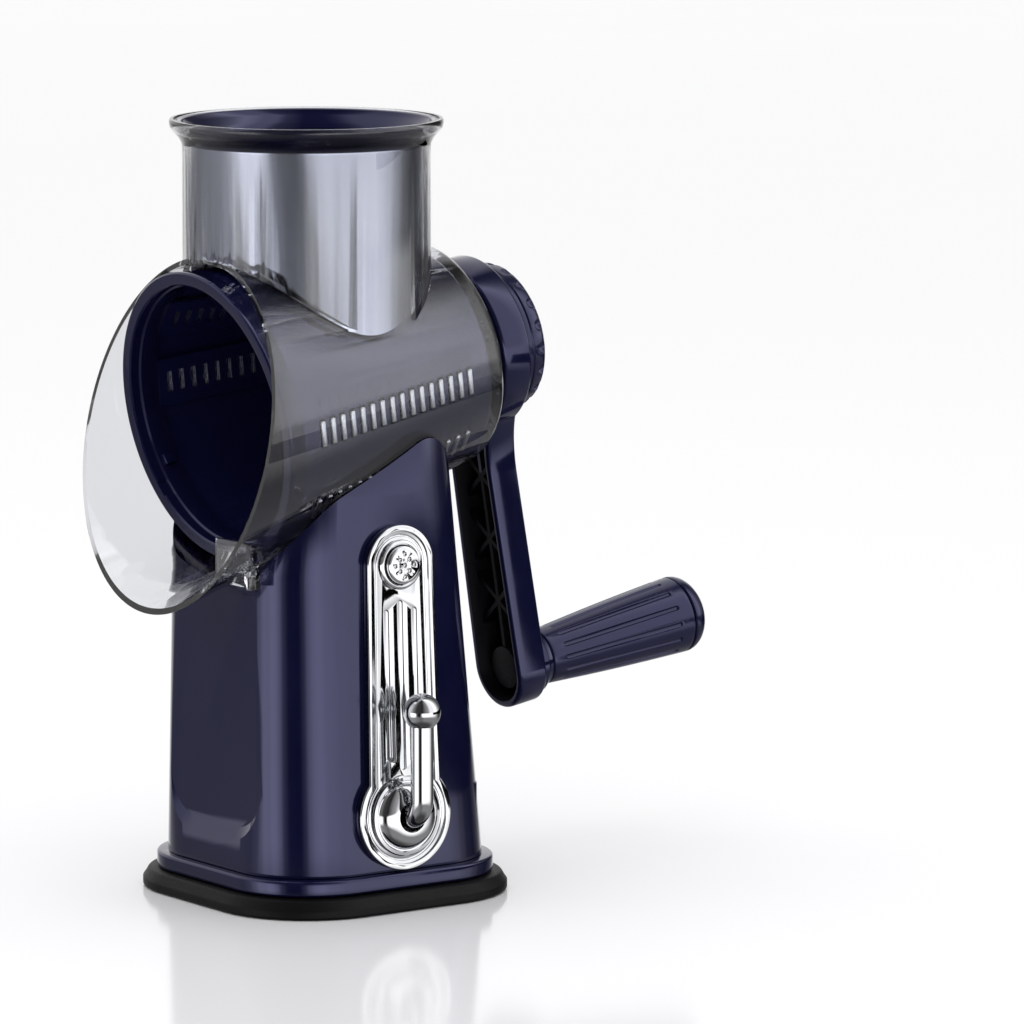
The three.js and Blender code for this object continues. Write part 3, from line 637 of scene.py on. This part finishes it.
def makeHousing():
    def radius(s):
        return cone["base"] - cone["slope"] * s

    shoulder = radius(cone["rear"])
    shell = turned("clearHousing", [(0, cone["front"]), (radius(cone["front"]), cone["front"]),
                                    (radius(49), 49), (shoulder + 0.1, 50.4), (shoulder - 0.9, 51.8),
                                    (shoulder - 2.2, 52.7), (shoulder - 3.6, 53), (0, 53)], 160)
    edit(shell)
    slope = math.atan(hopper["rimSlope"])
    # the lip is cut along a slanting plane, longer below than above
    bpy.ops.mesh.bisect(plane_co=(0, 0, mm(hopper["rimPlace"])),
                        plane_no=(0, -math.sin(slope), -math.cos(slope)), use_fill=True,
                        clear_outer=True)
    leave()
    onAxis(shell)
    tube = turned("hopperTube", [(0, 185), (44.9, 185), (44.9, 272.4), (45.2, 273.6), (45.9, 275),
                                 (46.8, 276.2), (48.2, 277.6), (49.2, 279), (49.5, 280.4),
                                 (49.5, 281.4), (49.1, 282), (0, 282)], 160)
    weld(shell, shift(tube, y=hopper["at"]))
    weld(shell, block("tongue", (-8, -10, 117), (8, 10, 142)))
    ear = block("ear", (8, -52.2, 118.3), (34, -50.4, 134))  # steadies it on the column
    post = block("post", (31, -55, 118.3), (34, -50.4, 134))
    cut(post, shift(turn(rodAlong("hole", 1.1, -9, 9, 24), 90, "Y"), 32, -53.2, 124))
    weld(ear, post)
    weld(shell, soften(ear, 0.3, 2))
    inside = coneTool("inside", -cone["wall"], cone["front"] - 1, cone["rear"] - cone["wall"], 160)
    bore = turned("hopperBore", [(0, 185), (42.4, 185), (42.4, 273), (42.9, 274.4), (44.3, 276.2),
                                 (46.3, 278), (47.4, 279.5), (47.9, 281), (48.1, 283), (0, 283)], 160)
    cut(shell, inside, shift(bore, y=hopper["at"]))
    cut(shell, onAxis(rodAlong("bushHole", 9, 40, 60)))
    soften(shell, 0.5, 3, 50)
    finished(shell, "housing", clear, ["housing"], 36)


def makePusher():
    outer = turned("pusherCup", [(0, 205), (41.9, 205), (41.9, 273.2), (42.4, 275), (43.7, 276.8),
                                 (45.5, 278.5), (46.7, 279.7), (47.2, 280.6), (47.0, 281.3),
                                 (46.4, 281.6), (45.6, 281.5), (45.2, 281.2), (0, 281.2)], 144)
    inner = turned("inner", [(0, 205), (39.9, 205), (39.9, 273.6), (41.8, 277), (44, 279.3), (45.1, 280.8),
                             (45.2, 282.5), (0, 282.5)], 144)
    shift(outer, y=hopper["at"])
    shift(inner, y=hopper["at"])
    for piece, reach in ((outer, 46.8), (inner, 49.2)):
        arch = turn(rodAlong("arch", reach, -80, 80, 160), 90, "X")
        cut(piece, shift(arch, z=186.2))
    cut(outer, inner)
    soften(outer, 0.4, 2, 45)
    middle = Vector((0, mm(hopper["at"])))
    wallTop, wallRadius, steepest = mm(273.4), mm(41), 0.2
    for face in outer.data.polygons:  # the wall is pearled, the rim and the inside plain navy
        away = face.center.xy - middle
        outwards = face.normal.xy.dot(away) > 0 and abs(face.normal.z) < steepest
        pearled = outwards and face.center.z < wallTop and away.length > wallRadius
        face.material_index = 0 if pearled else 1
    finished(outer, "pusher", [navyPearl, navy], ["pusher"], 36)


makeHousing()
print("housing joined and bored")
makePusher()
print("pusher made")

# --- drum

drum = {"base": 45.5, "slope": 0.15, "front": -45, "rear": 48, "wall": 2, "rows": (-5, -40, 174, 140),
        "count": 16, "pitch": 4.8, "slot": (10.6, 3.0), "tooth": (9.4, 2.2), "proud": 0.8}


def drumRadius(s):
    return drum["base"] - drum["slope"] * s


def rowPlaces(angle, offset=0.0, lift=0.0):
    found = []
    for i in range(drum["count"]):
        s = (i - (drum["count"] - 1) / 2) * drum["pitch"]
        around = Matrix.Rotation(-math.radians(angle + offset), 4, "Z")
        found.append(around @ Matrix.Translation((mm(drumRadius(s) + lift), 0, mm(s))))
    return found


def makeDrum():
    shell = turned("drumBody", [(9.7, 31), (9.7, 45.5), (drumRadius(45.5) - 3.5, 45.5),
                                (drumRadius(44) - 2, 44), (drumRadius(-45) - 2, -45),
                                (drumRadius(-45), -45), (drumRadius(45.6), 45.6),
                                (drumRadius(47) - 0.6, 47), (drumRadius(48) - 2, 48), (8, 48), (8, 31)], 160)
    covers = []
    for angle in drum["rows"]:
        slot = block("slot", (-5, -drum["slot"][0] / 2, -drum["slot"][1] / 2),
                     (5, drum["slot"][0] / 2, drum["slot"][1] / 2))
        cut(shell, copies(slot, rowPlaces(angle)))
        cover = block("cover", (-5.2, -8.8, -40.5), (-4.3, 8.8, 40.5))
        window = block("window", (-6, -3.9, -0.95), (-4, 3.9, 0.95))
        for i in range(drum["count"]):
            spot = (i - (drum["count"] - 1) / 2) * drum["pitch"]
            twin = bpy.data.objects.new("windowCopy", window.data.copy())
            bpy.context.scene.collection.objects.link(twin)
            cut(cover, shift(twin, z=spot))
        bpy.data.objects.remove(window)
        lean = Matrix.Rotation(-math.atan(drum["slope"]), 4, "Y")
        place(cover, Matrix.Rotation(-math.radians(angle), 4, "Z")
              @ Matrix.Translation((mm(drum["base"]), 0, 0))
              @ lean)
        covers.append(cover)
        mark = block("mark", (-0.35, -3.2, -0.45), (3, 3.2, 0.45))  # shallow lead-in above each tooth
        cut(shell, copies(mark, rowPlaces(angle, 12.5)))
    deselect()
    for cover in covers:
        cover.select_set(True)
    shell.select_set(True)
    bpy.context.view_layer.objects.active = shell
    bpy.ops.object.join()
    finished(onAxis(shell), "drum", navyDrum, ["drum_body"], 30)


def makeStrip(number, angle):
    low = -drum["wall"] - 1.3
    half = 38.6
    sheet = newPiece("bladeStrip%d" % number, [(drumRadius(-half) + low, -8, -half),
                                               (drumRadius(half) + low, -8, half),
                                               (drumRadius(half) + low - 0.8, -8, half),
                                               (drumRadius(-half) + low - 0.8, -8, -half)], [],
                     [[0, 1, 2, 3]])
    edit(sheet)
    bpy.ops.mesh.extrude_region_move(TRANSFORM_OT_translate={"value": (0, mm(16), 0)})
    leave()
    closeUp(sheet)
    turn(sheet, -angle, "Z")
    tooth = block("tooth", (-3.8, -drum["tooth"][0] / 2, -drum["tooth"][1] / 2),
                  (drum["proud"], drum["tooth"][0] / 2, drum["tooth"][1] / 2))
    soften(tooth, 0.55, 3)
    teeth = copies(tooth, rowPlaces(angle))
    deselect()
    teeth.select_set(True)
    sheet.select_set(True)
    bpy.context.view_layer.objects.active = sheet
    bpy.ops.object.join()
    finished(onAxis(sheet), "drum", steel, ["blade_strip_%d" % number])


def makeMouthRing():
    ring = turned("drumMouthRing", [(47.4, -40), (47.4, -47.5), (48.2, -48), (48.2, -51.4), (48.8, -52),
                                    (52.6, -52), (53.2, -51.5), (53.2, -50.6), (52.9, -50.2),
                                    (52.4, -45.3), (49, -45.3), (49, -40)], 160)
    for angle in (20, 140, 260):
        lug = block("lug", (40, -3, -53), (48.6, 3, -48))
        cut(ring, turn(lug, angle, "Z"))
        hook = block("hook", (45.4, -2, -46.5), (48, 2, -42))
        soften(hook, 0.5, 2)
        weld(ring, turn(hook, angle + 12, "Z"))
    soften(ring, 0.25, 2, 40)
    finished(onAxis(ring), "drum", navy, ["drum_mouth_ring"], 34)


makeDrum()
for index, rowAngle in enumerate(drum["rows"]):
    makeStrip(index + 1, rowAngle)
makeMouthRing()
print("drum, teeth and mouth ring made")

# --- crank

crank = {"near": 58.5, "core": 63, "far": 71, "length": 123.5, "hub": 32, "end": 14.6, "waist": 12.8,
         "wall": 2.4, "floor": 2.4, "knob": 27.3, "knobFar": 82.6, "cap": 0.55, "pocketWaist": 10.5,
         "pocketTip": 12.3, "tipFrom": 50}


def armOutline(inset):
    hub = crank["hub"] - inset
    end = crank["end"] - inset
    waist = crank["waist"] - inset
    leaveAt = math.degrees(math.asin((waist + 4) / hub))
    outline = arc(0, 0, hub, 90 + leaveAt, 450 - leaveAt, 96)
    side = []
    top = Vector((hub * math.sin(math.radians(leaveAt)), hub * math.cos(math.radians(leaveAt))))
    pull = Vector((waist, hub + 4))
    low = Vector((waist, hub + 16))
    for i in range(1, 13):
        t = i / 12
        side.append(top * (1 - t) ** 2 + pull * 2 * t * (1 - t) + low * t * t)
    outline += [(p.x, p.y) for p in side]
    outline += arc(0, crank["length"], end, 0, 180, 40)
    outline += [(-p.x, p.y) for p in reversed(side)]
    return outline


def makeArm():
    near, core, far = crank["near"], crank["core"], crank["far"]
    arm = slab("crankArm", armOutline(0), near, far)
    soften(arm, 1.4, 4, 40)
    pocket = slab("pocket", armOutline(crank["wall"]), near - 1, far - crank["floor"])
    keep = [rodAlong("hubCore", 11, core, 75, 64),
            shift(rodAlong("endCore", 8, core - 1, 75), y=crank["length"]),
            block("spine", (-0.9, -31, core), (0.9, crank["length"], 75)),
            block("cross", (-31, -0.9, core), (31, 0.9, 75))]
    for at in (50, 74, 98):
        for lean in (-38, 38):
            keep.append(shift(turn(block("rib", (-20, -0.9, core), (20, 0.9, 75)), lean, "Z"), y=at))
    cut(pocket, *keep)
    cut(arm, pocket)
    soften(arm, 0.3, 2, 60)
    cut(arm, shift(rodAlong("spindleHole", 4.3, core + crank["cap"], 90), y=crank["length"]))
    cut(arm, turned("shaftHole", [(0, 50), (6.3, 50), (6.3, 90), (0, 90)], 6))
    # the pocket faces take the darker navy that is painted shade, the rest the moulded navy
    for face in arm.data.polygons:
        face.material_index = 1 if insidePocket(face) else 0
    finished(onAxis(arm), "crank", [navy, navyPocketShade], ["crank_arm"], 34)


# picks the pocket faces that get the painted-shade navy
def insidePocket(face):
    if not mm(crank["near"] + 0.6) < face.center.z < mm(crank["far"] - crank["floor"] + 0.1):
        return False
    if face.center.y < mm(crank["hub"]):
        return face.center.xy.length < mm(crank["hub"] - crank["wall"] + 0.1)
    down = min(face.center.y, mm(crank["length"]))
    atTip = Vector((face.center.x, face.center.y - down))
    half = crank["pocketTip"] if face.center.y > mm(crank["tipFrom"]) else crank["pocketWaist"]
    return atTip.length < mm(crank["end"] - crank["wall"] + 0.1) and abs(face.center.x) < mm(half)


def makeKnob():
    far, radius = crank["knobFar"], crank["knob"]
    low = crank["far"]
    knob = turned("crankKnob", [(4.7, low + 1.6), (14, low + 1.6), (14, low + 0.3), (radius - 1.2, low + 0.3),
                                (radius - 0.3, low + 0.6), (radius, low + 1.4), (radius, low + 4.0),
                                (radius - 0.5, low + 4.5), (radius - 0.1, low + 5.0), (radius - 0.1, far - 3.4),
                                (radius - 0.8, far - 2.0), (radius - 2.2, far - 0.8), (radius - 4.4, far),
                                (12, far), (11.4, far - 0.8), (0, far - 0.8), (0, far - 1.8),
                                (4.7, far - 1.8)], 120)
    deselect()
    bpy.ops.mesh.primitive_uv_sphere_add(segments=20, ring_count=12, radius=mm(1))
    oval = bpy.context.object
    oval.scale = (2.0, 2.5, 2.6)
    bpy.ops.object.transform_apply(location=True, rotation=True, scale=True)
    around = []
    for i in range(20):
        ring = Matrix.Rotation(math.radians(i * 18 + 5), 4, "Z")
        around.append(ring @ Matrix.Translation((mm(radius + 0.1), 0, mm(far - 2.6))))
    cut(knob, copies(oval, around))
    soften(knob, 0.18, 2, 40)
    finished(onAxis(knob), "knob", navySatin, ["crank_knob"], 30)


def atGrip(piece):
    return onAxis(shift(piece, y=crank["length"]))


def makeGrip():
    sizes = {"root": 77.3, "end": 141, "rootRadius": 10.3, "endRadius": 14.5, "count": 14, "flute": 1.1}
    low = crank["far"]
    collar = turned("gripCollar", [(4.3, low + 0.3), (12, low + 0.3), (12.4, low + 0.7), (12.4, low + 2.6),
                                   (12, low + 3.2), (11.2, low + 3.8), (10.9, low + 4.6),
                                   (10.7, low + 5.6), (4.3, low + 5.6)], 72)
    finished(atGrip(collar), "crank", navy, ["grip_collar"], 30)

    def radius(s):
        part = (s - sizes["root"]) / (sizes["end"] - sizes["root"])
        swell = 0.35 * math.sin(math.pi * part)
        return sizes["rootRadius"] + (sizes["endRadius"] - sizes["rootRadius"]) * part + swell

    walls = [77.9, 79, 84, 90, 96, 103, 110, 117, 124, 131, 136, 139, 140.4]
    profile = [(4.1, 77.3), (9.6, 77.3)] + [(radius(s), s) for s in walls]
    profile += [(13.9, 141), (9, 141), (9, 135.7), (4.1, 135.7)]
    grip = turned("grip", profile, 112)
    deselect()
    bpy.ops.mesh.primitive_uv_sphere_add(segments=12, ring_count=8, radius=mm(sizes["flute"]))
    flute = bpy.context.object
    edit(flute, False)
    leave()
    for vertex in flute.data.vertices:
        vertex.select = vertex.co.z > mm(0.05)
    bpy.ops.object.mode_set(mode="EDIT")
    bpy.ops.transform.translate(value=(0, 0, mm(50)))
    leave()
    lean = math.atan((sizes["endRadius"] - sizes["rootRadius"]) / (sizes["end"] - sizes["root"]))
    around = []
    for i in range(sizes["count"]):
        ring = Matrix.Rotation(math.radians(360 * i / sizes["count"]), 4, "Z")
        out = Matrix.Translation((mm(radius(84) + 0.35), 0, mm(84))) @ Matrix.Rotation(lean, 4, "Y")
        around.append(ring @ out)
    cut(grip, copies(flute, around))
    soften(grip, 0.25, 2, 40)
    finished(atGrip(grip), "grip", navySatin, ["grip"], 30)
    cap = turned("gripEndCap", [(0, 141.3), (14.1, 141.3), (14.5, 141.7), (14.5, 142.6), (14.2, 143.8),
                                (13.5, 145.2), (12.4, 146.5), (10.8, 147.8), (8.6, 148.8), (6, 149.5),
                                (3, 149.9), (0, 150)], 72)
    finished(atGrip(cap), "grip", navySatin, ["grip_end_cap"], 30)


makeArm()
makeKnob()
makeGrip()
print("crank, knob and grip made")

# --- inner pieces keep their own shape and take a real finish

inner = {"base_screw_1": steel, "base_screw_2": steel, "base_screw_3": steel, "base_screw_4": steel,
         "lift_yoke": acetal, "pad_spring": wire, "latch_slider": acetal, "button_spring": wire,
         "cam_shaft": steel, "lift_cam": acetal, "shaft_clip": wire, "shaft_bush": acetal,
         "shaft_seal": silicone, "drive_insert": steel, "crank_shaft": steel, "knob_washer": steel,
         "grip_spindle": steel, "spindle_nut": steel}
for nodeName, look in inner.items():
    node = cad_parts[nodeName]
    node.data.materials.clear()
    node.data.materials.append(look)

# --- studio

studio = {"azimuth": 56.0, "elevation": 8.1, "distance": 2600, "target": (0, 0, 140), "lens": 251.37,
          "aside": 68.55, "below": 2.18}


def makeCamera():
    azimuth, elevation = math.radians(studio["azimuth"]), math.radians(studio["elevation"])
    back = Vector((math.sin(azimuth) * math.cos(elevation), -math.cos(azimuth) * math.cos(elevation),
                   math.sin(elevation)))
    right = Vector((math.cos(azimuth), math.sin(azimuth), 0))
    up = right.cross(-back)
    target = Vector(studio["target"])
    eye = target + back * studio["distance"]
    aim = target + right * studio["aside"] - up * studio["below"]
    data = bpy.data.cameras.new("camera")
    data.lens = studio["lens"]
    data.sensor_width = 36
    data.clip_end = 50
    camera = bpy.data.objects.new("camera", data)
    bpy.context.scene.collection.objects.link(camera)
    camera.location = eye / 1000
    camera.rotation_euler = (aim - eye).to_track_quat("-Z", "Y").to_euler()
    bpy.context.scene.camera = camera


def makeFloor():
    deselect()
    bpy.ops.mesh.primitive_plane_add(size=14, location=(0, 0, -0.0002))
    floor = bpy.context.object
    floor.name = "floor"
    look, tree, shader, where = material("paleTable", {"IOR": 1.35, "Base Color": linear("#f4f4f5")})
    grained(tree, shader, where, 300, 1.0, (0.11, 0.13), 0.002, 0.01)
    floor.data.materials.append(look)
    floor.visible_glossy = floor.visible_transmission = False  # gloss shows the studio instead


def makeFlag():  # a curved black card that keeps the rear of the column's side dark
    away, low, high, start, end = 800, -60, 75, 123, 208
    sine, cosine = math.sin(math.radians(start)), math.cos(math.radians(start))
    flag = newPiece("flag", [(away * sine, -away * cosine, level) for level in (low, high)],
                    [(0, 1)], [])
    edit(flag)
    bpy.ops.mesh.spin(steps=24, angle=math.radians(start - end), center=(0, 0, 0), axis=(0, 0, 1))
    leave()
    look, tree, shader, where = material("blackFlag", {"Specular IOR Level": 0})
    tinted(tree, shader, where, 60, "#050505", "#070707")
    flag.data.materials.append(look)
    flag.visible_camera = flag.visible_diffuse = False
    flag.visible_transmission = flag.visible_shadow = False


def softbox(name, azimuth, elevation, away, size, brightness):
    data = bpy.data.lights.new(name, "AREA")
    data.shape = "RECTANGLE"
    data.size, data.size_y = size
    data.energy = brightness * math.pi * size[0] * size[1]
    lamp = bpy.data.objects.new(name, data)
    bpy.context.scene.collection.objects.link(lamp)
    a, e = math.radians(azimuth), math.radians(elevation)
    back = Vector((math.sin(a) * math.cos(e), -math.cos(a) * math.cos(e), math.sin(e)))
    lamp.location = Vector((0, 0, 0.14)) + back * away
    lamp.rotation_euler = (-back).to_track_quat("-Z", "Y").to_euler()
    lamp.visible_camera = False
    lamp.visible_glossy = False


# what gloss sees all round, as (azimuth, brightness): level with the object, above it and below it
around = {
    "level": [(0, 3.0), (8, 2.9), (14, 2.1), (21, 0.5), (29, 0.03), (44, 0.0), (51, 0.43), (58, 1.9),
              (65, 2.7), (73, 3.0), (88, 2.5), (110, 2.1), (128, 1.9), (137, 1.5), (147, 1.1),
              (158, 0.5), (170, 0.12), (185, 0.04), (200, 0.15), (225, 0.9), (250, 0.9), (270, 0.4),
              (288, 0.25), (300, 0.3), (310, 0.35), (321, 0.4), (332, 0.7), (341, 1.5), (350, 2.6)],
    "above": [(0, 0.3), (20, 0.06), (60, 0.03), (95, 0.5), (110, 1.6), (128, 1.5), (137, 2.0), (149, 2.4),
              (162, 1.2), (175, 0.5), (190, 0.15), (206, 0.08), (222, 1.0), (340, 1.0), (359, 0.35)],
    "below": [(0, 0.4), (50, 0.2), (75, 0.35), (150, 0.35), (200, 0.3), (359, 0.4)],
}
brightest = 4.0


bands = {"up": (-0.05, 0.02), "down": (-0.26, -0.45), "under": (-0.7, -0.9), "dark": 0.02}


def brightnessRow(tree, row, stops, bearing):
    ramp = addNode(tree, "ShaderNodeValToRGB", None, {"Fac": bearing.outputs[0]})
    ramp.color_ramp.interpolation = "EASE" if row == "level" else "LINEAR"
    elements = ramp.color_ramp.elements
    for i, (bearingAt, brightness) in enumerate(stops):
        if i < 2:
            element = elements[i]
            element.position = bearingAt / 360
        else:
            element = elements.new(bearingAt / 360)
        element.color = [brightness / brightest] * 3 + [1]
    return ramp.outputs["Color"]


def makeWorld():
    world = bpy.data.worlds.new("studioAir")
    bpy.context.scene.world = world
    world.use_nodes = True
    tree = world.node_tree
    background = tree.nodes["Background"]
    coordinates = addNode(tree, "ShaderNodeTexCoord")
    parts = addNode(tree, "ShaderNodeSeparateXYZ", None, {"Vector": coordinates.outputs["Generated"]})
    ahead = addNode(tree, "ShaderNodeMath", {"operation": "MULTIPLY", 1: -1.0},
                    {0: parts.outputs["Y"]})
    bearing = addNode(tree, "ShaderNodeMath", {"operation": "ARCTAN2"},
                      {0: parts.outputs["X"], 1: ahead.outputs[0]})
    turnPart = addNode(tree, "ShaderNodeMath", {"operation": "DIVIDE", 1: 2 * math.pi},
                       {0: bearing.outputs[0]})
    wrapped = addNode(tree, "ShaderNodeMath", {"operation": "WRAP", 1: 1.0, 2: 0.0},
                      {0: turnPart.outputs[0]})
    rows = {row: brightnessRow(tree, row, stops, wrapped) for row, stops in around.items()}

    def band(limits):
        return addNode(tree, "ShaderNodeMapRange", {"From Min": limits[0], "From Max": limits[1]},
                       {"Value": parts.outputs["Z"]}).outputs[0]

    def blend(amount, links):
        return addNode(tree, "ShaderNodeMix", {"data_type": "RGBA"}, {0: amount, **links})

    upper = blend(band(bands["up"]), {6: rows["level"], 7: rows["above"]})
    whole = blend(band(bands["down"]), {6: upper.outputs[2], 7: rows["below"]})
    fading = blend(band(bands["under"]), {6: whole.outputs[2]})
    fading.inputs[7].default_value = [bands["dark"]] * 3 + [1]
    path = addNode(tree, "ShaderNodeLightPath")
    gain = addNode(tree, "ShaderNodeMapRange", {"To Min": 1.0, "To Max": brightest},
                   {"Value": path.outputs["Glossy Depth"]})
    seen = blend(path.outputs["Glossy Depth"], {7: fading.outputs[2]})
    seen.inputs[6].default_value = linear("#fdfdfe")
    tree.links.new(seen.outputs[2], background.inputs["Color"])
    tree.links.new(gain.outputs[0], background.inputs["Strength"])


makeCamera()
makeFloor()
makeFlag()
makeWorld()
softbox("topBox", 20, 75, 1.6, (1.4, 1.4), 1.2)
bpy.context.scene.view_settings.view_transform = "Standard"
print("studio set")
